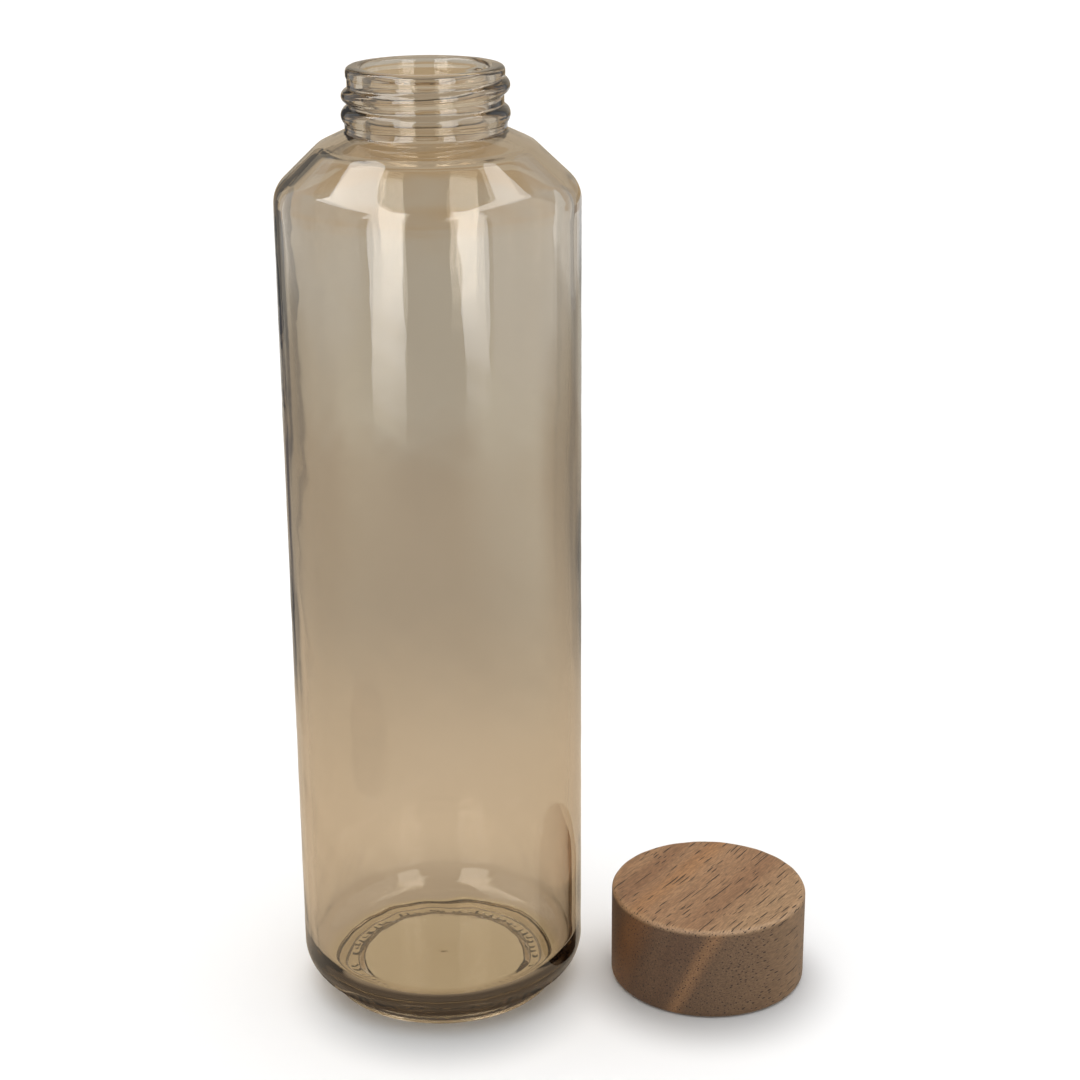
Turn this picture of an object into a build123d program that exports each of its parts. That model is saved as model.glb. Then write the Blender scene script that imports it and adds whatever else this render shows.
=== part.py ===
"""Glass water bottle with a one-turn screw neck, and its turned wood cap lying beside it.

The bottle stands on z = 0 with its axis on the Z axis. Its cap is off and lies top face up on
the same surface, with its own axis at +X. The cap is a wood shell around a threaded plastic
insert, with a loose silicone seal under the insert's top disc. Moving the cap by
(-cap_offset, 0, seated_lift) puts it on the bottle with its thread in mesh and its seal on the rim.
"""

import os

from build123d import *

os.makedirs("parts", exist_ok=True)

# ---------------------------------------------------------------- driving dimensions, millimetres
# Bottle body
height = 225.0               # standing face to the top of the rim
body_radius = 34.5
wall = 2.8                   # side wall and shoulder
heel_height = 4.6            # where the side wall would meet the underside without its rounding
heel_fillet = 8.0
foot_radius = 28.0           # outside of the standing ring
foot_height = 2.9
foot_width = 2.8
underside_rise = 3.4         # push-up of the underside at its centre
underside_edge_rise = 2.9    # the same at its edge
underside_radius = 19.9      # edge of the push-up
underside_step = 1.8         # width of the slope from there down to the flat ring
mark_rise = 0.8              # flat ring between the push-up and the foot, where the mould marks are
floor_centre = 6.8           # inside floor, crowned at the centre
floor_edge = 4.6
floor_fillet = 9.0

# Shoulder corners, as (radius, depth below the rim)
shoulder_low = (body_radius, 26.8)
shoulder_high = (24.4, 17.1)
neck_base = (18.05, 14.1)

# Neck finish: standard 38 mm continuous thread, right-handed, six turns to the inch
neck_radius = 17.38
mouth_radius = 14.0
lip_radius = 17.65
lip_height = 2.1
bead_radius = 18.8           # crest of the transfer bead
bead_depth = 10.6            # its middle, below the rim
bead_height = 4.1
pitch = 25.4 / 6
ridge_radius = 1.7           # rounded glass thread, half sunk in the neck wall
ridge_path_radius = 17.0
ridge_start_angle = 60.0     # lower end, turned from +X
ridge_start_depth = 7.88     # lower end, below the rim
ridge_turns = 1.0
end_inset = 0.02             # the round thread ends are this much smaller than the ridges

# Cap
cap_offset = 66.2            # bottle axis to cap axis, with the cap lying on the table
cap_radius = 24.0
cap_height = 23.65
cap_fillet = 1.0
recess_radius = 21.2         # turned out of the wood for the insert
recess_depth = 17.3
insert_radius = 20.85
insert_bore = 19.1           # clears the transfer bead
insert_base = 0.3            # the insert stands this much inside the wood's lower edge
seal_top = 15.5              # underside of the insert's top disc
seal_thickness = 2.0
seal_radius = 18.8
seal_bore = 12.5
rib_count = 24
rib_width = 1.2
rib_height = 0.3
cap_ridge_radius = 1.1       # rounded plastic thread
cap_ridge_path_radius = 18.95
cap_ridge_gap = 2.06         # how far its middle runs below the glass thread's middle
cap_ridge_start_angle = 240.0
cap_ridge_turns = 1.0

# ---------------------------------------------------------------- sizes worked out from those
seated_lift = height - (seal_top - seal_thickness)   # rise of the cap when its seal is on the rim
cap_place = Plane(origin=(cap_offset, 0, 0))


def inset(before, corner, after, distance):
    """The corner of a parallel outline that runs a distance to the left of this one."""
    arriving = (Vector(*corner) - Vector(*before)).normalized()
    leaving = (Vector(*after) - Vector(*corner)).normalized()
    left_arriving = Vector(-arriving.Y, arriving.X)
    left_leaving = Vector(-leaving.Y, leaving.X)
    reach = distance / (1 + left_arriving.dot(left_leaving))
    moved = Vector(*corner) + (left_arriving + left_leaving) * reach
    return (moved.X, moved.Y)


def below_rim(corner):
    """A (radius, depth below the rim) pair as a (radius, z) point."""
    return (corner[0], height - corner[1])


def thread_path(axis_x, start_z, start_angle, turns, radius):
    """A right-handed helix that starts at a height and an angle about the axis at axis_x."""
    return Pos(axis_x, 0, start_z) * Rot(0, 0, start_angle) * Helix(pitch, pitch * turns, radius)


# ---------------------------------------------------------------- glass bottle
# One piece of pressed-and-blown glass: foot ring, heel, side wall, shoulder and neck finish.
heel = (body_radius, heel_height)
low = below_rim(shoulder_low)
high = below_rim(shoulder_high)
base_of_neck = below_rim(neck_base)
bead_middle = height - bead_depth
bead_bottom = bead_middle - bead_height / 2
bead_top = bead_middle + bead_height / 2

inner_low = inset(heel, low, high, wall)
inner_high = inset(low, high, base_of_neck, wall)
shoulder_slope = (high[1] - base_of_neck[1]) / (high[0] - base_of_neck[0])
inner_neck_base = (mouth_radius, inner_high[1] + shoulder_slope * (mouth_radius - inner_high[0]))

glass_thread = thread_path(
    0, height - ridge_start_depth, ridge_start_angle, ridge_turns, ridge_path_radius
)

with BuildPart() as glass_bottle:
    with BuildSketch(Plane.XZ):
        with BuildLine():
            # underside and outside, from the axis up to the transfer bead
            outside = FilletPolyline(
                (0, underside_rise),
                (underside_radius, underside_edge_rise),
                (underside_radius + underside_step, mark_rise),
                (foot_radius - foot_width - 0.5, mark_rise),
                (foot_radius - foot_width, 0),
                (foot_radius, 0),
                (foot_radius, foot_height),
                heel,
                low,
                high,
                base_of_neck,
                (base_of_neck[0], bead_bottom),
                radius=(0.7, 0.6, 0.3, 0.3, 0.7, 0.5, heel_fillet, 6.8, 3.6, 0.6),
            )
            bead = ThreePointArc(
                outside @ 1, (bead_radius, bead_middle), (neck_radius, bead_top)
            )
            # neck wall, lip and rim, then down the inside to the floor
            inside = FilletPolyline(
                bead @ 1,
                (neck_radius, height - lip_height - 0.5),
                (lip_radius, height - lip_height),
                (lip_radius, height),
                (mouth_radius, height),
                inner_neck_base,
                inner_high,
                inner_low,
                (inner_low[0], floor_edge),
                (0, floor_centre),
                radius=(0.3, 0.3, 1.1, 0.8, 3.0, 3.0, 6.0, floor_fillet),
            )
            Line(inside @ 1, outside @ 0)
        make_face()
    revolve(axis=Axis.Z)

    # one turn of rounded thread, its ends rounded off
    with BuildSketch(Plane(glass_thread @ 0, z_dir=glass_thread % 0)):
        Circle(ridge_radius)
    sweep(path=glass_thread, is_frenet=True)
    with Locations(glass_thread @ 0, glass_thread @ 1):
        Sphere(ridge_radius - end_inset)

glass_bottle.part.label = "glass_bottle"

# ---------------------------------------------------------------- wood cap shell
# Turned from one block, grain across the top, with a plain round recess for the insert.
with BuildPart() as wood_cap_shell:
    with BuildSketch(cap_place):
        Circle(cap_radius)
    extrude(amount=cap_height)
    fillet(wood_cap_shell.edges().filter_by(GeomType.CIRCLE), cap_fillet)
    with BuildSketch(cap_place):
        Circle(recess_radius)
    extrude(amount=recess_depth, mode=Mode.SUBTRACT)
    recess_mouth = wood_cap_shell.edges().filter_by(GeomType.CIRCLE).group_by(Axis.Z)[0]
    chamfer(recess_mouth.sort_by(SortBy.RADIUS)[0], 0.4)

wood_cap_shell.part.label = "wood_cap_shell"

# ---------------------------------------------------------------- threaded insert
# Moulded polypropylene cup, glued into the wood by its ribs and top disc, with the cap's thread.
start_turn = (cap_ridge_start_angle - ridge_start_angle) / 360
glass_thread_height = height - ridge_start_depth + pitch * start_turn
cap_ridge_height = glass_thread_height - cap_ridge_gap - seated_lift
cap_thread = thread_path(
    cap_offset, cap_ridge_height, cap_ridge_start_angle, cap_ridge_turns, cap_ridge_path_radius
)

with BuildPart() as threaded_insert:
    with BuildSketch(cap_place.offset(insert_base)):
        Circle(insert_radius)
    extrude(amount=recess_depth - insert_base)
    with BuildSketch(cap_place.offset(insert_base)):
        with PolarLocations(insert_radius, rib_count):
            Rectangle(2 * rib_height, rib_width)
    extrude(amount=seal_top - insert_base)
    with BuildSketch(cap_place.offset(insert_base)):
        Circle(insert_bore)
    extrude(amount=seal_top - insert_base, mode=Mode.SUBTRACT)
    mouth = threaded_insert.edges().filter_by(GeomType.CIRCLE).group_by(Axis.Z)[0]
    chamfer(mouth.sort_by(SortBy.RADIUS)[0], 0.6)

    # thread that runs just under the glass one when the cap is seated
    with BuildSketch(Plane(cap_thread @ 0, z_dir=cap_thread % 0)):
        Circle(cap_ridge_radius)
    sweep(path=cap_thread, is_frenet=True)
    with Locations(cap_thread @ 0, cap_thread @ 1):
        Sphere(cap_ridge_radius - end_inset)

threaded_insert.part.label = "threaded_insert"

# ---------------------------------------------------------------- silicone seal
# Flat ring that the cap presses on the rim; it is free to stay still while the cap turns.
with BuildPart() as silicone_seal:
    with BuildSketch(cap_place.offset(seal_top - seal_thickness)):
        Circle(seal_radius)
        Circle(seal_bore, mode=Mode.SUBTRACT)
    extrude(amount=seal_thickness)
    fillet(silicone_seal.edges().filter_by(GeomType.CIRCLE).group_by(Axis.Z)[0], 0.4)

silicone_seal.part.label = "silicone_seal"

# ---------------------------------------------------------------- write one STEP file per piece
for piece in (glass_bottle, wood_cap_shell, threaded_insert, silicone_seal):
    export_step(piece.part, f"parts/{piece.part.label}.step")
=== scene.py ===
import math

import bpy
import numpy as np
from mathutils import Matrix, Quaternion, Vector


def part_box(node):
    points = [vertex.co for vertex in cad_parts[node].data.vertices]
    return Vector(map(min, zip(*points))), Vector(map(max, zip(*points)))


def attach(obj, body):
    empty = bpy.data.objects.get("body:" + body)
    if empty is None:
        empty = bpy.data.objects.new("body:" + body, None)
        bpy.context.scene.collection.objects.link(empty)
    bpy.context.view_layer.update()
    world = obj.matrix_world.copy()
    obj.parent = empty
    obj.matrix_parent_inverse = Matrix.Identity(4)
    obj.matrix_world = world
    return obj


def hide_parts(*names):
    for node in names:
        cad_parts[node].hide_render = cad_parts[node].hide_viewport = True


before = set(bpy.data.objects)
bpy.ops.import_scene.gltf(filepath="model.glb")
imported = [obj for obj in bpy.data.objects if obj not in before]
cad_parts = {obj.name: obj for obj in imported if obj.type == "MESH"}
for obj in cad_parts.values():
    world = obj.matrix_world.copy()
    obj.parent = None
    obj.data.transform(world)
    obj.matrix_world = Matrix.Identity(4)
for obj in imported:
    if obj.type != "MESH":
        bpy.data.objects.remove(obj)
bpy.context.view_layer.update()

# ---------------------------------------------------------------------------------------------
# Camera. It stands in front of the bottle, above its rim, and looks down at about 20 degrees,
# with a long lens, so that the cap shows its top and its side.
# ---------------------------------------------------------------------------------------------
camera_place = Vector((0.0393, -0.5049, 0.29408))
camera_direction = Vector((-0.02714, 0.94171, -0.33532))
camera_roll = math.radians(-0.31)

camera_data = bpy.data.cameras.new("camera")
camera_data.sensor_width = 36.0
camera_data.lens = 75.787
camera_data.clip_start = 0.01
camera = bpy.data.objects.new("camera", camera_data)
camera.location = camera_place
camera.rotation_mode = "QUATERNION"
camera.rotation_quaternion = (
    camera_direction.to_track_quat("-Z", "Y") @ Quaternion((0, 0, 1), camera_roll)
)
bpy.context.scene.collection.objects.link(camera)
bpy.context.scene.camera = camera

# ---------------------------------------------------------------------------------------------
# Studio. A light table under the bottle and its cap, a soft light overhead, two tall softboxes
# in front that make the strips of light down the glass, and walls and flags out of the view.
# ---------------------------------------------------------------------------------------------
floor_half = 4.0
floor_level = -0.00005    # a hair below the standing ring, so that there is air between
floor_mesh = bpy.data.meshes.new("floor")
floor_mesh.from_pydata(
    [(-floor_half, -floor_half, floor_level), (floor_half, -floor_half, floor_level),
     (floor_half, floor_half, floor_level), (-floor_half, floor_half, floor_level)],
    [], [(0, 1, 2, 3)],
)
floor = bpy.data.objects.new("floor", floor_mesh)
bpy.context.scene.collection.objects.link(floor)

# The table is matt white where it is seen directly, and glows where it is seen through the
# glass or mirrored in it. The glow is a warm pool round the bottle that dims towards the back.
table = bpy.data.materials.new("light_table")
table.use_nodes = True
nodes, links = table.node_tree.nodes, table.node_tree.links
table_shader = nodes["Principled BSDF"]
table_shader.inputs["Roughness"].default_value = 0.9
table_shader.inputs["Specular IOR Level"].default_value = 0.0


def node(kind, nodes, links, wired=(), **settings):
    """A new shader node with its settings, and its inputs wired or set by name or number."""
    made = nodes.new("ShaderNode" + kind)
    for key, value in settings.items():
        setattr(made, key, value)
    for socket, source in dict(wired).items():
        if isinstance(source, bpy.types.NodeSocket):
            links.new(source, made.inputs[socket])
        else:
            made.inputs[socket].default_value = source
    return made


def eased(nodes, links, value, low, high):
    """0 where value is below low and 1 above high, eased between; low may be the greater."""
    ramp = node("MapRange", nodes, links, {"Value": value, "From Min": low, "From Max": high},
                interpolation_type="SMOOTHSTEP")
    return ramp.outputs["Result"]


def blended_value(nodes, links, value, low, high, below, above):
    """One number where value is below low and another above high, eased between."""
    ramp = node("MapRange", nodes, links, {
        "Value": value, "From Min": low, "From Max": high, "To Min": below, "To Max": above,
    }, interpolation_type="SMOOTHSTEP")
    return ramp.outputs["Result"]


def times(nodes, links, a, b):
    """The product of two values."""
    return node("Math", nodes, links, {0: a, 1: b}, operation="MULTIPLY").outputs[0]


def blended(nodes, links, share, a, b):
    """Colour a where share is 0 and colour b where it is 1."""
    mix = node("Mix", nodes, links, {"Factor": share, "A": a, "B": b}, data_type="RGBA")
    return mix.outputs["Result"]


place = node("TexCoord", nodes, links).outputs["Object"]
split = node("SeparateXYZ", nodes, links, {0: place})
across = node("Math", nodes, links, {0: split.outputs["X"]}, operation="ABSOLUTE").outputs[0]
depth = split.outputs["Y"]
pool = (0.78, 0.65, 0.50, 1)
for starts, ends, further in (
    (0.05, 0.27, (0.445, 0.395, 0.33, 1)),
    (0.38, 0.52, (0.515, 0.49, 0.44, 1)),
    (0.70, 1.45, (0.50, 0.385, 0.245, 1)),
):
    pool = blended(nodes, links, eased(nodes, links, depth, starts, ends), pool, further)
# brighter out to the right, level with the bottle and in front of it
right_side = times(nodes, links, eased(nodes, links, split.outputs["X"], 0.10, 0.42),
                   eased(nodes, links, depth, 0.15, -0.05))
pool = blended(nodes, links, right_side, pool, (1.40, 1.38, 1.22, 1))
# and dimmer at the front edge
front_edge = eased(nodes, links, depth, -0.55, -0.35)
table_light = blended(nodes, links, front_edge, (0.46, 0.42, 0.36, 1), pool)
# painted shade in the glow, seen in the glass: a dark wedge runs back from the bottle on either
# side of what is straight behind it, between two lines that go outwards by these amounts for each
# metre back, and it is weaker on the right
wedge_inner_slope = 0.42
wedge_outer_slope = 0.84
past_inner = node("Math", nodes, links, {
    0: depth, 1: -wedge_inner_slope, 2: across,
}, operation="MULTIPLY_ADD").outputs[0]
past_outer = node("Math", nodes, links, {
    0: depth, 1: -wedge_outer_slope, 2: across,
}, operation="MULTIPLY_ADD").outputs[0]
painted_dark_wedge = times(nodes, links, eased(nodes, links, past_outer, 0.03, -0.03),
              eased(nodes, links, past_inner, 0.03, 0.08))
painted_dark_wedge = times(nodes, links, painted_dark_wedge, eased(nodes, links, depth, 0.14, 0.2))
painted_dark_wedge = times(nodes, links, painted_dark_wedge,
              blended_value(nodes, links, split.outputs["X"], -0.05, 0.05, 0.85, 0.35))
table_light = blended(nodes, links, painted_dark_wedge, table_light, (0.08, 0.08, 0.10, 1))
# painted shadow and light in the glow: it is weaker close round the bottle, as a painted shadow.
# Under the bottle it is bright where it is seen down through the bottle's floor, behind four
# surfaces, as painted light that passed through the bottle, and dark where it is seen through the
# heel, as painted shade.
path = node("LightPath", nodes, links)
from_bottle = node("VectorMath", nodes, links, {0: place}, operation="LENGTH").outputs["Value"]
painted_shadow_ring = times(nodes, links, eased(nodes, links, from_bottle, 0.021, 0.024),
                   eased(nodes, links, from_bottle, 0.085, 0.03))
table_light = blended(nodes, links, times(nodes, links, painted_shadow_ring, 0.35), table_light,
                      (0, 0, 0, 1))
through_floor = node("Math", nodes, links, {
    0: path.outputs["Transmission Depth"], 1: 2.5,
}, operation="GREATER_THAN").outputs[0]
painted_light_and_shade_under = blended(nodes, links, through_floor, (0.09, 0.07, 0.055, 1), (0.55, 0.445, 0.285, 1))
under_glass = eased(nodes, links, from_bottle, 0.037, 0.031)
table_light = blended(nodes, links, under_glass, table_light, painted_light_and_shade_under)
glow = node("Emission", nodes, links, {"Color": table_light})
through_glass = node("Math", nodes, links, {
    0: path.outputs["Is Glossy Ray"], 1: path.outputs["Is Transmission Ray"],
}, operation="MAXIMUM").outputs[0]
# painted shadow: the table's colour is greyer where the bottle and the cap stand, a little to their
# front, in place of their shadows, and it stays where the cap stood when the cap moves
tone = (0.9, 0.9, 0.9, 1)
for middle, outside, inside, share, shade in (
    ((0.001, -0.012, 0), 0.041, 0.020, 1.0, (0.545, 0.56, 0.575, 1)),
    ((0.066, -0.009, 0), 0.036, 0.014, 0.4, (0, 0, 0, 1)),
):
    from_painted_shadow = node("VectorMath", nodes, links, {0: place, 1: middle}, operation="DISTANCE")
    near = eased(nodes, links, from_painted_shadow.outputs["Value"], outside, inside)
    tone = blended(nodes, links, times(nodes, links, near, share), tone, shade)
links.new(tone, table_shader.inputs["Base Color"])
choice = node("MixShader", nodes, links, {
    0: through_glass, 1: table_shader.outputs["BSDF"], 2: glow.outputs["Emission"],
})
# from below the table isn't there, so that the underside of the bottle can be seen
choice = node("MixShader", nodes, links, {
    0: node("NewGeometry", nodes, links).outputs["Backfacing"],
    1: choice.outputs[0], 2: node("BsdfTransparent", nodes, links).outputs["BSDF"],
})
links.new(choice.outputs[0], nodes["Material Output"].inputs["Surface"])
floor_mesh.materials.append(table)


def straight_through(nodes, links):
    """1 for what is seen through glass with no reflection on the way, and 0 for all else."""
    path = node("LightPath", nodes, links)
    direct = node("Math", nodes, links, {
        0: path.outputs["Glossy Depth"], 1: 0.5,
    }, operation="LESS_THAN").outputs[0]
    return times(nodes, links, path.outputs["Is Transmission Ray"], direct)


def light_panel(name, corners, strength, fade=0.0, mirrored_only=False):
    """A flat softbox with those corners in order, seen only in reflections and through glass.

    It turns clear towards the table over a height of fade, where it has one. Where it is
    mirrored_only, it isn't seen straight through glass either."""
    mesh = bpy.data.meshes.new(name)
    mesh.from_pydata(corners, [], [range(len(corners))])
    panel = bpy.data.objects.new(name, mesh)
    bpy.context.scene.collection.objects.link(panel)
    panel.visible_camera = False
    panel.visible_diffuse = False
    panel.visible_shadow = False
    glow = bpy.data.materials.new(name)
    glow.use_nodes = True
    nodes, links = glow.node_tree.nodes, glow.node_tree.links
    nodes.remove(nodes["Principled BSDF"])
    emission = node("Emission", nodes, links, {"Color": (1, 1, 1, 1), "Strength": strength})
    shown = emission.outputs["Emission"]
    if fade:
        place = node("TexCoord", nodes, links).outputs["Object"]
        height = node("SeparateXYZ", nodes, links, {0: place}).outputs["Z"]
        shown = node("MixShader", nodes, links, {
            0: eased(nodes, links, height, 0.0, fade),
            1: node("BsdfTransparent", nodes, links).outputs["BSDF"], 2: shown,
        }).outputs[0]
    if mirrored_only:
        shown = node("MixShader", nodes, links, {
            0: straight_through(nodes, links), 1: shown,
            2: node("BsdfTransparent", nodes, links).outputs["BSDF"],
        }).outputs[0]
    links.new(shown, nodes["Material Output"].inputs["Surface"])
    mesh.materials.append(glow)


def upright(x0, y0, x1, y1, height):
    """The corners of a panel that stands on the table between two places."""
    return [(x0, y0, 0), (x1, y1, 0), (x1, y1, height), (x0, y0, height)]


light_panel("left_softbox", upright(-0.335, -0.41, -0.125, -0.505, 0.8), 5.0, fade=0.075,
            mirrored_only=True)
light_panel(
    "right_softbox",
    [(0.275, -0.445, 0), (0.385, -0.352, 0), (0.385, -0.352, 0.8), (0.225, -0.48, 0.8),
     (0.225, -0.48, 0.09)],
    4.7, fade=0.075, mirrored_only=True,
)
light_panel(
    "left_overhead",
    [(-1.9, -1.9, 1.2), (-0.42, -1.9, 1.2), (-0.42, 0.35, 1.2), (-0.86, 0.35, 1.2),
     (-1.275, 0.52, 1.2), (-1.39, -0.6, 1.2)],
    4.9, mirrored_only=True,
)
light_panel(
    "right_overhead",
    [(0.57, -1.9, 1.2), (1.95, -1.9, 1.2), (2.1, -0.5, 1.2), (1.65, 0.42, 1.2), (0.88, 0.5, 1.2),
     (0.57, 0.2, 1.2)],
    4.0, mirrored_only=True,
)

# pale walls to either side, out of the view
light_panel("left_wall", upright(-0.48, -0.46, -0.62, 0.20, 0.7), 0.95, fade=0.06)
light_panel("left_rear_wall", upright(-0.62, 0.20, -0.52, 0.50, 0.7), 0.85, fade=0.06)
light_panel("right_wall", upright(0.42, -0.34, 0.50, 0.20, 0.7), 1.4, fade=0.06)
light_panel("right_rear_wall", upright(0.50, 0.20, 0.42, 0.52, 0.7), 0.75, fade=0.06)

# grey flags behind, out of view to either side, which draw the dark lines down the glass edges
light_panel("left_flag", upright(-0.44, 0.58, -0.29, 0.66, 0.75), 0.14)
light_panel("right_flag", upright(0.40, 0.62, 0.52, 0.54, 0.75), 0.45)

# a low pale light behind on the right, seen through the right of the glass
light_panel("right_rear_light", upright(0.14, 0.76, 0.38, 0.64, 0.09), 0.8, fade=0.03)

# a very large soft light straight above, which gives the shadows their direction
top_light = bpy.data.lights.new("top_light", "SUN")
top_light.angle = math.radians(65)
top_light.energy = 1.25
top_lamp = bpy.data.objects.new("top_light", top_light)
top_lamp.visible_camera = False
top_lamp.visible_glossy = False
top_lamp.visible_transmission = False
bpy.context.scene.collection.objects.link(top_lamp)

# The room is white to the eye, pale for everything matt, and dim and warm for what is mirrored
# in the glass or seen through it, dimmest towards the front.
world = bpy.data.worlds.new("studio")
world.use_nodes = True
nodes, links = world.node_tree.nodes, world.node_tree.links
path = node("LightPath", nodes, links)
mirrored = node("Math", nodes, links, {
    0: path.outputs["Is Glossy Ray"], 1: path.outputs["Is Transmission Ray"],
}, operation="MAXIMUM").outputs[0]
heading = node("TexCoord", nodes, links).outputs["Generated"]
heading = node("SeparateXYZ", nodes, links, {0: heading}).outputs["Y"]
behind = eased(nodes, links, heading, -0.75, -0.1)
walls = blended(nodes, links, behind, (0.42, 0.39, 0.35, 1), (0.60, 0.53, 0.43, 1))
room = blended(nodes, links, mirrored, (0.85, 0.85, 0.85, 1), walls)
room = blended(nodes, links, path.outputs["Is Camera Ray"], room, (1.0, 1.0, 1.0, 1))
links.new(room, nodes["Background"].inputs["Color"])
bpy.context.scene.world = world
bpy.context.scene.view_settings.view_transform = "Standard"

# ---------------------------------------------------------------------------------------------
# Glass bottle. One piece of smoked brown glass, pressed and blown in a mould: foot ring, heel,
# straight wall, sloping shoulder and a screw neck with one turn of rounded thread.
# ---------------------------------------------------------------------------------------------
MM = 0.001
bottle_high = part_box("glass_bottle")[1]
rim = bottle_high.z
body_radius = bottle_high.x
wall = 2.8 * MM
foot_radius = 28 * MM
mouth_radius = 14 * MM
neck_radius = 17.38 * MM
neck_base_radius = 18.05 * MM
thread_pitch = 25.4 / 6 * MM
thread_turns = 1.0
thread_start_angle = math.radians(60)
thread_start_depth = 7.88 * MM
thread_centre = 17.0 * MM    # from the axis to the middle of the round ridge
thread_round = 1.7 * MM


def rounded(corners, radii, arc_points=24):
    """Points along straight runs whose inner corners are arcs of the given radii.

    An arc leaves its first run at the radius times the tangent of half the turn before the
    corner, and each of its points goes the sine of its angle along that run and one minus the
    cosine to the side that the outline turns to, both times the radius."""
    corners = np.array(corners, float)
    parts = [corners[:1]]
    for before, corner, after, radius in zip(corners, corners[1:], corners[2:], radii):
        along = (corner - before) / np.linalg.norm(corner - before)
        onward = (after - corner) / np.linalg.norm(after - corner)
        turn = math.atan2(along[0] * onward[1] - along[1] * onward[0], along @ onward)
        side = np.array([-along[1], along[0]]) * math.copysign(1, turn)
        start = corner - along * radius * math.tan(abs(turn) / 2)
        angle = np.linspace(0, abs(turn), arc_points)[:, None]
        parts.append(start + radius * (np.sin(angle) * along + (1 - np.cos(angle)) * side))
    parts.append(corners[-1:])
    return np.vstack(parts)


def respaced(points, step_at):
    """The same outline with its points a local step apart, where step_at(r, z) gives the step.

    The outline is first cut finely, then points are read off at equal amounts of length
    divided by step."""
    fine_cuts = 20000
    length = np.concatenate([[0], np.cumsum(np.linalg.norm(np.diff(points, axis=0), axis=1))])
    fine = np.linspace(0, length[-1], fine_cuts)
    r = np.interp(fine, length, points[:, 0])
    z = np.interp(fine, length, points[:, 1])
    count = np.concatenate([[0], np.cumsum(np.diff(fine) / step_at(r, z)[1:])])
    marks = np.linspace(0, count[-1], int(count[-1]) + 1)
    return np.interp(marks, count, r), np.interp(marks, count, z)


def revolved_mesh(name, r, z, x_centre=0.0):
    """A closed surface from grids of radius and height, one row per outline point.

    The rows run from pole to pole; every column is one angle, all the way round. The first and
    last rows shrink to one vertex each, and the quads between rows close over the last angle."""
    rows, columns = r.shape
    angle = np.arange(columns) * (2 * math.pi / columns)
    x = x_centre + r * np.cos(angle)
    y = r * np.sin(angle)
    body = np.stack([x, y, z], axis=-1)[1:-1].reshape(-1, 3)
    poles = np.array([[x_centre, 0, z[0].mean()], [x_centre, 0, z[-1].mean()]])
    vertices = np.vstack([body, poles])
    index = np.arange((rows - 2) * columns).reshape(rows - 2, columns)
    beside = np.roll(index, -1, axis=1)
    quads = np.stack([index[:-1], beside[:-1], beside[1:], index[1:]], axis=-1).reshape(-1, 4)
    first, last = len(body), len(body) + 1
    start_fan = np.stack([np.full(columns, first), beside[0], index[0]], axis=-1)
    end_fan = np.stack([np.full(columns, last), index[-1], beside[-1]], axis=-1)
    mesh = bpy.data.meshes.new(name)
    faces = quads.tolist() + start_fan.tolist() + end_fan.tolist()
    mesh.from_pydata(vertices.tolist(), [], faces)
    mesh.polygons.foreach_set("use_smooth", np.ones(len(faces), bool))
    mesh.update()
    piece = bpy.data.objects.new(name, mesh)
    bpy.context.scene.collection.objects.link(piece)
    return piece


def waves(angle, z, around, along, height, seed):
    """A smooth uneven field: a sum of cosines of whole turns round the axis and of height.

    around and along give each cosine's number of waves round the axis and per metre of height,
    seed its phases, and height the size of the sum."""
    phase = np.random.default_rng(seed).uniform(0, 2 * math.pi, len(around))
    terms = [np.cos(m * angle + k * 2 * math.pi * z + p) for m, k, p in zip(around, along, phase)]
    return height * sum(terms) / math.sqrt(len(terms))


def smooth_step(low, high, value):
    """0 below low and 1 above high, with no corner between.

    With t the share of the way from low to high, it is t squared times three less twice t."""
    t = np.clip((value - low) / (high - low), 0, 1)
    return t * t * (3 - 2 * t)


def soft_greater(a, b, blend):
    """The greater of two fields, with a fillet of about the blend's size where they cross.

    It is half of their sum plus the root of their difference squared plus the blend squared."""
    return 0.5 * (a + b + np.sqrt((a - b) ** 2 + blend ** 2))


# the outline runs up the outside from the middle of the underside, over the rim and down the
# inside to the middle of the floor
glass_corners = [
    (0, 3.4 * MM), (19.9 * MM, 2.9 * MM), (21.7 * MM, 0.8 * MM), (24.7 * MM, 0.8 * MM),
    (25.2 * MM, 0), (foot_radius, 0), (foot_radius, 2.9 * MM),
    (body_radius, 4.6 * MM), (body_radius, rim - 26.8 * MM), (24.4 * MM, rim - 17.1 * MM),
    (neck_base_radius, rim - 14.1 * MM), (neck_base_radius, rim - 12.2 * MM),
    (neck_radius, rim - 11.5 * MM), (neck_radius, rim - 2.6 * MM), (17.65 * MM, rim - 2.1 * MM),
    (17.65 * MM, rim), (mouth_radius, rim), (mouth_radius, rim - 15.27 * MM),
    (22.8 * MM, rim - 19.41 * MM), (body_radius - wall, rim - 27.98 * MM),
    (body_radius - wall, 4.6 * MM), (0, 6.8 * MM),
]
glass_radii = np.array(
    [0.7, 0.6, 0.3, 0.3, 0.7, 0.5, 8.0, 6.8, 3.6, 0.6, 0.5, 0.5, 0.4, 0.4, 1.1, 0.8, 2.0, 3.0, 6.0,
     9.0]
) * MM


def glass_step(r, z):
    """How far apart the outline's points are: fine on the neck, foot and heel, coarse between."""
    fine_neck = smooth_step(rim - 16 * MM, rim - 14 * MM, z) * smooth_step(15.5 * MM, 16.5 * MM, r)
    fine_foot = smooth_step(6 * MM, 4 * MM, z) * smooth_step(18 * MM, 19.5 * MM, r)
    bends = smooth_step(rim - 32 * MM, rim - 28 * MM, z) + smooth_step(22 * MM, 14 * MM, z)
    coarse = 2.4 * MM - 1.6 * MM * np.clip(bends, 0, 1)
    return coarse * (1 - fine_neck) * (1 - fine_foot) + 0.32 * MM * (fine_neck + fine_foot)


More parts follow.
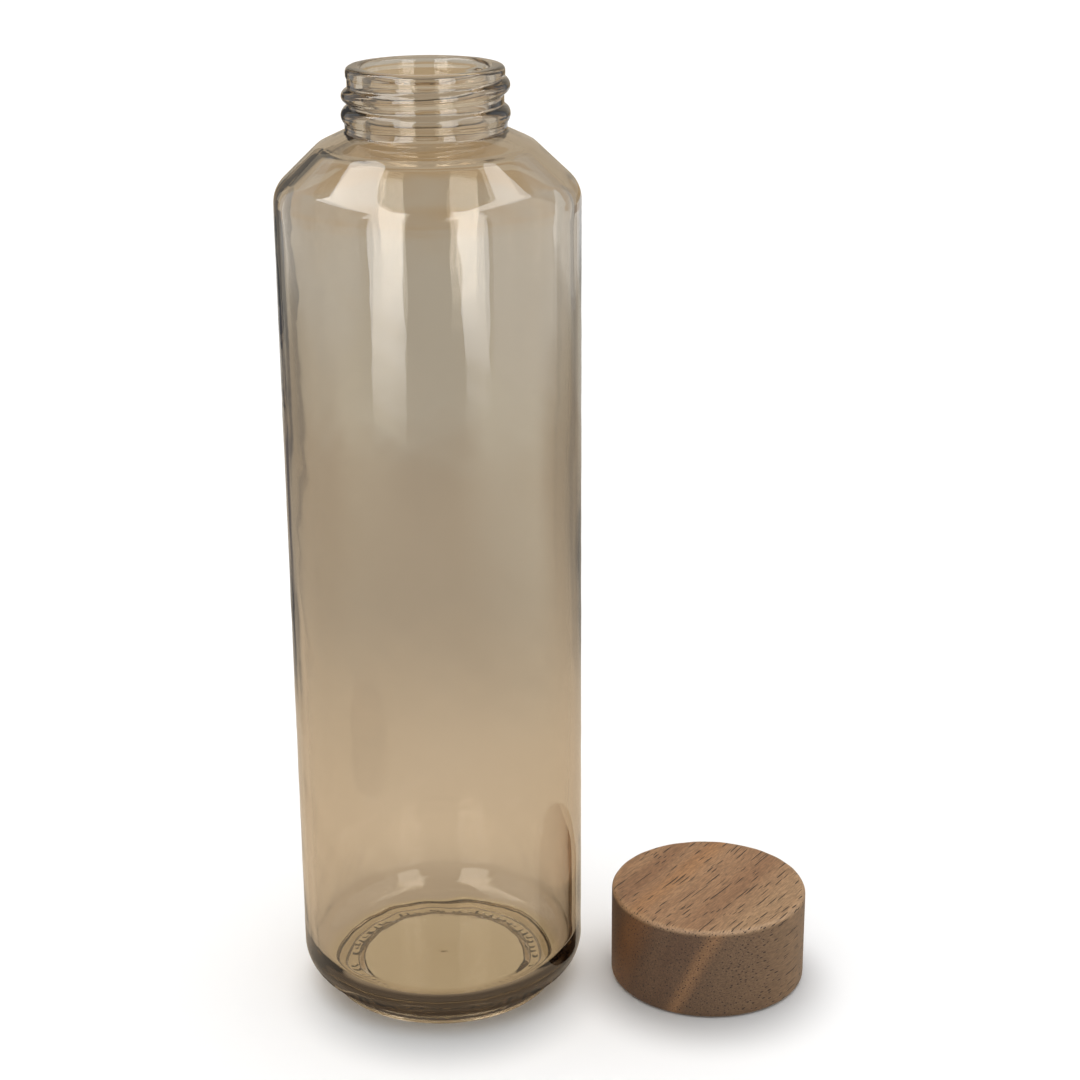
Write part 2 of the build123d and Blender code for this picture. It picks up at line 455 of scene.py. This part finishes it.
outline_r, outline_z = respaced(rounded(glass_corners, glass_radii), glass_step)
columns = 232
angle = np.arange(columns) * (2 * math.pi / columns)
radius = np.repeat(outline_r[:, None], columns, axis=1)
level = np.repeat(outline_z[:, None], columns, axis=1)
apex = np.argmax(outline_z)
row = np.arange(len(outline_z))[:, None]
outer = (row <= apex) & (level > 3 * MM)
inner = row > apex

# thread: a round ridge whose middle climbs one pitch a turn and sinks into the wall at its ends
turned = np.mod(angle - thread_start_angle, 2 * math.pi)
neck_wall = radius.copy()
for lap in (-1, 0, 1):
    swept = turned + lap * 2 * math.pi
    middle = rim - thread_start_depth + thread_pitch * swept / (2 * math.pi)
    past_end = swept - 2 * math.pi * thread_turns
    fade = smooth_step(-0.25, 0.35, swept) * smooth_step(0.25, -0.35, past_end)
    centre = thread_centre - 2.2 * MM * (1 - fade)
    ridge = centre + np.sqrt(np.maximum(thread_round ** 2 - (level - middle) ** 2, 0))
    near = outer & (level > rim - 11 * MM) & (np.abs(level - middle) < thread_round)
    neck_wall = np.where(near, soft_greater(neck_wall, ridge, 0.25 * MM), neck_wall)
from_bead = level - (rim - 10.6 * MM)
bead_reach = 2.15 * MM
bead = 16.65 * MM + np.sqrt(np.maximum(bead_reach ** 2 - from_bead ** 2, 0))
near_bead = outer & (np.abs(from_bead) < bead_reach)
radius = np.where(near_bead, soft_greater(neck_wall, bead, 0.3 * MM), neck_wall)

# the blown inside is uneven, and the mould leaves the outside very slightly wavy
blown = smooth_step(10 * MM, 30 * MM, level) * smooth_step(rim - 18 * MM, rim - 30 * MM, level)
radius += inner * blown * waves(
    angle, level, (1, 2, 3, 2, 5), (4, 9, 14, 21, 11), 0.10 * MM, seed=3
)
radius += outer * waves(angle, level, (2, 5, 9, 7), (18, 31, 12, 45), 0.012 * MM, seed=8)
radius += outer * waves(angle, level, (7, 11, 16, 22), (45, 90, 130, 70), 0.022 * MM, seed=17)
# the two halves of the mould leave a fine seam up each side
for seam_angle in (math.radians(24), math.radians(204)):
    off_seam = np.abs(np.mod(angle - seam_angle + math.pi, 2 * math.pi) - math.pi) * radius
    radius = radius + outer * 0.06 * MM * np.exp(-(off_seam / (0.45 * MM)) ** 2)

# the mould's marks: a ring of plain short bars raised from the flat ring of the underside, a
# few of them worn weak, and a small pip at the centre
mark_count = 66
mark_number = angle * mark_count / (2 * math.pi)
mark_cell = np.floor(mark_number).astype(int)
mark_draw = np.random.default_rng(5).uniform(0, 1, (mark_count, 3))[mark_cell]
mark_across = np.abs(mark_number - mark_cell - 0.5)
bar = smooth_step(0.32, 0.18, mark_across) * smooth_step(0.15, 0.5, mark_draw[:, 0])
bar_low = (21.9 + 0.9 * mark_draw[:, 1]) * MM
bar_high = (23.3 + 0.9 * mark_draw[:, 2]) * MM
marks = bar * smooth_step(bar_low - 0.3 * MM, bar_low + 0.2 * MM, radius)
marks = marks * smooth_step(bar_high + 0.3 * MM, bar_high - 0.2 * MM, radius)
underside = row < np.argmax(outline_r > 25 * MM)
level -= underside * 0.62 * MM * marks
level -= underside * 0.2 * MM * smooth_step(1.0 * MM, 0.3 * MM, radius)
# the edge of the push-up is uneven too
push_up_edge = smooth_step(18 * MM, 20 * MM, radius) * smooth_step(22 * MM, 21 * MM, radius)
uneven = waves(angle, radius, (5, 9, 14, 23), (60, 150, 90, 210), 0.07 * MM, seed=12)
level += underside * uneven * push_up_edge

glass_bottle = revolved_mesh("bottle_glass", radius, level)

glass = bpy.data.materials.new("smoked_glass")
glass.use_nodes = True
nodes, links = glass.node_tree.nodes, glass.node_tree.links
shader = nodes["Principled BSDF"]
shader.inputs["Base Color"].default_value = (1, 1, 1, 1)
shader.inputs["Roughness"].default_value = 0.0
shader.inputs["IOR"].default_value = 1.51
shader.inputs["Transmission Weight"].default_value = 1.0
# light passes on through the glass with little loss, so its shadow is a pale one
pale = node("BsdfTransparent", nodes, links, {"Color": (0.82, 0.815, 0.81, 1)})
glass_surface = node("MixShader", nodes, links, {
    0: node("LightPath", nodes, links).outputs["Is Shadow Ray"],
    1: shader.outputs["BSDF"], 2: pale.outputs["BSDF"],
})
links.new(glass_surface.outputs[0], nodes["Material Output"].inputs["Surface"])
# the brown is in the thickness of the glass
tint = node("VolumeAbsorption", nodes, links, {"Color": (0.466, 0.291, 0.0, 1), "Density": 103.0})
links.new(tint.outputs["Volume"], nodes["Material Output"].inputs["Volume"])
glass_bottle.data.materials.append(glass)

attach(glass_bottle, "bottle")
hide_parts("glass_bottle")

# ---------------------------------------------------------------------------------------------
# Wood cap shell. Turned from one block of oiled open-grained hardwood with its fibres lying
# across the top, and bored out from below for the threaded insert.
# ---------------------------------------------------------------------------------------------
cap_low, cap_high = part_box("wood_cap_shell")
cap_x = (cap_low.x + cap_high.x) / 2
cap_radius = (cap_high.x - cap_low.x) / 2
cap_height = cap_high.z
recess_radius = 21.2 * MM
recess_depth = 17.3 * MM
fibre_heading = math.radians(57)    # of the fibres, turned from +X
fibre_rise = math.radians(4)
ring_roll = math.radians(23)        # of the growth rings, about the fibres

shell_corners = [
    (0, recess_depth), (recess_radius, recess_depth), (recess_radius, 0), (cap_radius, 0),
    (cap_radius, cap_height), (0, cap_height),
]
shell_radii = np.array([0.4, 0.45, 1.2, 1.15]) * MM


def shell_step(r, z):
    """How far apart the cap outline's points are: fine round its edges, coarse on its flats."""
    to_edge = np.minimum(np.hypot(cap_radius - r, cap_height - z), np.hypot(cap_radius - r, z))
    off_recess = recess_radius - r
    to_recess = np.minimum(np.hypot(off_recess, recess_depth - z), np.hypot(off_recess, z))
    reach = np.clip(np.minimum(to_edge, to_recess) / (4 * MM), 0, 1)
    return 0.18 * MM + 0.6 * MM * reach


shell_r, shell_z = respaced(rounded(shell_corners, shell_radii, arc_points=16), shell_step)
angle = np.arange(columns) * (2 * math.pi / columns)
radius = np.repeat(shell_r[:, None], columns, axis=1)
level = np.repeat(shell_z[:, None], columns, axis=1)
# the turning tool left fine rings in the recess, and hand sanding left the outer edge uneven
in_recess = (np.arange(len(shell_r)) < np.argmax(shell_r >= cap_radius * 0.95))[:, None]
tool_rings = 0.03 * MM * np.cos(radius * 2 * math.pi / (1.9 * MM))
level += in_recess * (radius < recess_radius * 0.98) * tool_rings
from_axis = cap_radius - radius
from_top = cap_height - level
edge_share = np.exp(-(from_axis ** 2 + from_top ** 2) / (1.3 * MM) ** 2)
sanding = waves(angle, level, (3, 7, 12, 19, 26), (0, 10, 0, 15, 0), 0.03 * MM, seed=21)
radius -= edge_share * (0.05 * MM + sanding)
level -= edge_share * (0.05 * MM + sanding)

cap_shell = revolved_mesh("cap_wood", radius, level, cap_x)

wood = bpy.data.materials.new("oiled_hardwood")
wood.use_nodes = True
nodes, links = wood.node_tree.nodes, wood.node_tree.links
shader = nodes["Principled BSDF"]
shader.inputs["IOR"].default_value = 1.45
shader.inputs["Specular IOR Level"].default_value = 0.35
place = node("TexCoord", nodes, links).outputs["Object"]


def maths(operation, a, b=0.0):
    """One sum, product or other operation on two values of the wood."""
    return node("Math", nodes, links, {0: a, 1: b}, operation=operation).outputs[0]


# the block's own axes: x along the fibres, y out through the growth rings, z along the rings
block = node("Mapping", nodes, links, {
    "Vector": place, "Location": (cap_x, 0, 0), "Rotation": (ring_roll, -fibre_rise, fibre_heading),
}, vector_type="TEXTURE").outputs["Vector"]
wander = node("TexNoise", nodes, links, {"Vector": block, "Scale": 38.0, "Detail": 2.0})
wander = node("VectorMath", nodes, links, {
    0: wander.outputs["Color"], 1: (0.5, 0.5, 0.5),
}, operation="SUBTRACT").outputs["Vector"]
grain = node("VectorMath", nodes, links, {
    0: wander, 1: (0.0, 2.2 * MM, 2.2 * MM), 2: block,
}, operation="MULTIPLY_ADD").outputs["Vector"]
grain_axes = node("SeparateXYZ", nodes, links, {0: grain})
ring = grain_axes.outputs["Y"]


def band(value, middle, half_width):
    """1 in the middle of a band of that half width across a value, easing to 0 at its sides."""
    off = maths("ABSOLUTE", maths("SUBTRACT", value, middle))
    return eased(nodes, links, off, half_width, 0.0)


# broad growth bands, fine streaks along the fibres, and the long open pores
drawn_wide = node("Mapping", nodes, links, {"Vector": grain, "Scale": (0.05, 1.0, 0.3)})
bands = node("TexNoise", nodes, links, {
    "Vector": drawn_wide.outputs["Vector"], "Scale": 230.0, "Detail": 3.0,
}).outputs["Fac"]
drawn_fine = node("Mapping", nodes, links, {"Vector": grain, "Scale": (0.16, 1.0, 1.0)})
streaks = node("TexNoise", nodes, links, {
    "Vector": drawn_fine.outputs["Vector"], "Scale": 2600.0, "Detail": 2.0, "Roughness": 0.6,
}).outputs["Fac"]
tubes = node("CombineXYZ", nodes, links, {"X": ring, "Y": grain_axes.outputs["Z"]}).outputs[0]
pores = node("TexVoronoi", nodes, links, {
    "Vector": tubes, "Scale": 1100.0,
}, voronoi_dimensions="2D")
pore_size = node("SeparateColor", nodes, links, {0: pores.outputs["Color"]}).outputs["Red"]
pore_edge = maths("SUBTRACT", pores.outputs["Distance"], maths("MULTIPLY", pore_size, 0.19))
pore = eased(nodes, links, pore_edge, 0.06, 0.0)

# on the side wall the fibres end: there the oil sinks in and the wood is darker, and this darkening
# is also painted shade, for the side being less lit than the top
from_centre = node("VectorMath", nodes, links, {
    0: place, 1: (cap_x, 0, 0),
}, operation="SUBTRACT").outputs["Vector"]
off_axis = node("VectorMath", nodes, links, {0: from_centre, 1: (1, 1, 0)}, operation="MULTIPLY")
off_axis = off_axis.outputs["Vector"]
out = node("VectorMath", nodes, links, {0: off_axis}, operation="LENGTH").outputs["Value"]
height = node("SeparateXYZ", nodes, links, {0: place}).outputs["Z"]
on_wall = maths(
    "MULTIPLY", eased(nodes, links, out, cap_radius - 1.0 * MM, cap_radius - 0.2 * MM),
    eased(nodes, links, height, cap_height - 0.3 * MM, cap_height - 1.3 * MM),
)
radial = node("VectorMath", nodes, links, {0: off_axis}, operation="NORMALIZE").outputs["Vector"]
facing = node("VectorMath", nodes, links, {
    0: radial, 1: (math.cos(fibre_heading), math.sin(fibre_heading), 0),
}, operation="DOT_PRODUCT").outputs["Value"]
fibre_ends = maths("MULTIPLY_ADD", maths("ABSOLUTE", facing), 0.35)
fibre_ends.node.inputs[2].default_value = 0.5
end_grain_and_side_shade = maths("MULTIPLY", fibre_ends, on_wall)

colour = blended(nodes, links, eased(nodes, links, bands, 0.3, 0.7), (0.225, 0.113, 0.052, 1),
                 (0.31, 0.172, 0.084, 1))
colour = blended(nodes, links, maths("MULTIPLY", eased(nodes, links, ring, 4 * MM, -9 * MM), 0.7),
                 colour, (0.33, 0.205, 0.105, 1))
colour = blended(nodes, links, maths("MULTIPLY", band(ring, 17 * MM, 4 * MM), 0.45),
                 colour, (0.34, 0.155, 0.05, 1))
# darker end grain, and painted shade for the less lit side wall
colour = blended(nodes, links, maths("MULTIPLY", end_grain_and_side_shade, 0.92), colour,
                 (0.050, 0.0255, 0.0135, 1))
pale_band = maths("MULTIPLY", band(ring, -3.3 * MM, 2.8 * MM), on_wall)
colour = blended(nodes, links, maths("MULTIPLY", pale_band, 0.6), colour, (0.27, 0.135, 0.055, 1))
rust_band = maths("MULTIPLY", band(ring, 15 * MM, 6.5 * MM), on_wall)
colour = blended(nodes, links, maths("MULTIPLY", rust_band, 0.5), colour, (0.19, 0.075, 0.02, 1))
# the edge is worn paler
worn = node("VectorMath", nodes, links, {
    0: node("CombineXYZ", nodes, links, {"X": out, "Z": height}).outputs[0],
    1: (cap_radius - 0.4 * MM, 0, cap_height - 0.5 * MM),
}, operation="DISTANCE").outputs["Value"]
paler = maths("MULTIPLY", eased(nodes, links, worn, 1.3 * MM, 0.3 * MM), 0.4)
colour = blended(nodes, links, paler, colour, (0.40, 0.25, 0.13, 1))
fleck = eased(nodes, links, streaks, 0.35, 0.68)
darker = node("VectorMath", nodes, links, {0: colour, "Scale": 0.78}, operation="SCALE")
lighter = node("VectorMath", nodes, links, {0: colour, "Scale": 1.18}, operation="SCALE")
colour = blended(nodes, links, fleck, darker.outputs["Vector"], lighter.outputs["Vector"])
colour = blended(nodes, links, maths("MULTIPLY", pore, 0.88), colour, (0.020, 0.009, 0.005, 1))
links.new(colour, shader.inputs["Base Color"])
sheen_less = node("MapRange", nodes, links, {"Value": streaks, "To Min": 0.42, "To Max": 0.68})
links.new(sheen_less.outputs["Result"], shader.inputs["Roughness"])
relief = maths("SUBTRACT", maths("MULTIPLY", streaks, 0.25), pore)
bump = node("Bump", nodes, links, {"Height": relief, "Strength": 0.55, "Distance": 0.12 * MM})
links.new(bump.outputs["Normal"], shader.inputs["Normal"])
cap_shell.data.materials.append(wood)

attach(cap_shell, "cap")
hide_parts("wood_cap_shell")

# ---------------------------------------------------------------------------------------------
# Threaded insert. Injection-moulded polypropylene cup with the cap's thread, pressed and glued
# into the wood by its ribs. Matt, with the faint speckle of a spark-eroded mould.
# ---------------------------------------------------------------------------------------------
plastic = bpy.data.materials.new("moulded_plastic")
plastic.use_nodes = True
nodes, links = plastic.node_tree.nodes, plastic.node_tree.links
shader = nodes["Principled BSDF"]
shader.inputs["IOR"].default_value = 1.49
place = node("TexCoord", nodes, links).outputs["Object"]
speckle = node("TexNoise", nodes, links, {"Vector": place, "Scale": 5200.0, "Detail": 1.0})
speckle = speckle.outputs["Fac"]
flow = node("TexNoise", nodes, links, {"Vector": place, "Scale": 90.0, "Detail": 2.0})
flow = flow.outputs["Fac"]
tone = blended(nodes, links, flow, (0.76, 0.75, 0.715, 1), (0.86, 0.855, 0.83, 1))
links.new(tone, shader.inputs["Base Color"])
matt = node("MapRange", nodes, links, {"Value": speckle, "To Min": 0.38, "To Max": 0.56})
links.new(matt.outputs["Result"], shader.inputs["Roughness"])
bump = node("Bump", nodes, links, {"Height": speckle, "Strength": 0.35, "Distance": 0.02 * MM})
links.new(bump.outputs["Normal"], shader.inputs["Normal"])
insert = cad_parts["threaded_insert"]
insert.material_slots[0].material = plastic

# ---------------------------------------------------------------------------------------------
# Silicone seal. Flat ring punched from white silicone sheet, loose under the insert's disc.
# ---------------------------------------------------------------------------------------------
silicone = bpy.data.materials.new("white_silicone")
silicone.use_nodes = True
nodes, links = silicone.node_tree.nodes, silicone.node_tree.links
shader = nodes["Principled BSDF"]
shader.inputs["IOR"].default_value = 1.41
shader.inputs["Subsurface Weight"].default_value = 0.35
shader.inputs["Subsurface Radius"].default_value = (1.0, 0.9, 0.8)
shader.inputs["Subsurface Scale"].default_value = 1.2 * MM
place = node("TexCoord", nodes, links).outputs["Object"]
cloud = node("TexNoise", nodes, links, {"Vector": place, "Scale": 240.0, "Detail": 3.0})
cloud = cloud.outputs["Fac"]
tone = blended(nodes, links, cloud, (0.80, 0.80, 0.78, 1), (0.90, 0.90, 0.89, 1))
links.new(tone, shader.inputs["Base Color"])
satin = node("MapRange", nodes, links, {"Value": cloud, "To Min": 0.45, "To Max": 0.6})
links.new(satin.outputs["Result"], shader.inputs["Roughness"])
bump = node("Bump", nodes, links, {"Height": cloud, "Strength": 0.2, "Distance": 0.05 * MM})
links.new(bump.outputs["Normal"], shader.inputs["Normal"])
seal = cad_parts["silicone_seal"]
seal.material_slots[0].material = silicone
